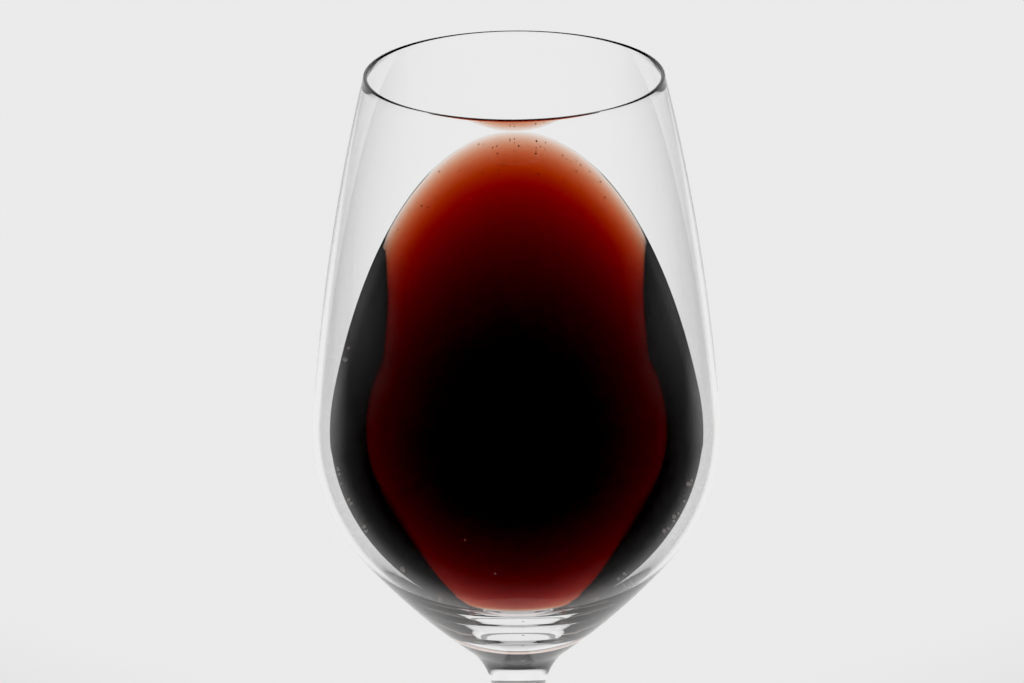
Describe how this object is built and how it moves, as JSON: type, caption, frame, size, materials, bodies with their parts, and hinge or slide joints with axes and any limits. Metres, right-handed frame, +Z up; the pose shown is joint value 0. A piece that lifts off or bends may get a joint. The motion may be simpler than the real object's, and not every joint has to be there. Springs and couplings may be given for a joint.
{
  "type": "glass of red wine",
  "caption": "Stemmed wine glass with a tapered bowl, holding red wine that lies against one wall with its flat surface at a slant",
  "frame": {"origin": "centre of the foot's underside, on the table", "axes": "+Z up along the glass's axis, +Y towards the wall that the wine lies against, +X to the right"},
  "size_m": [0.0922, 0.0922, 0.244],
  "materials": {
    "glass": "clear fire-polished drinking glass",
    "wine": "deep red wine, clear, orange-red where it is shallow"
  },
  "bodies": {
    "root": {"glass": "glass", "wine": "wine"}
  },
  "joints": []
}
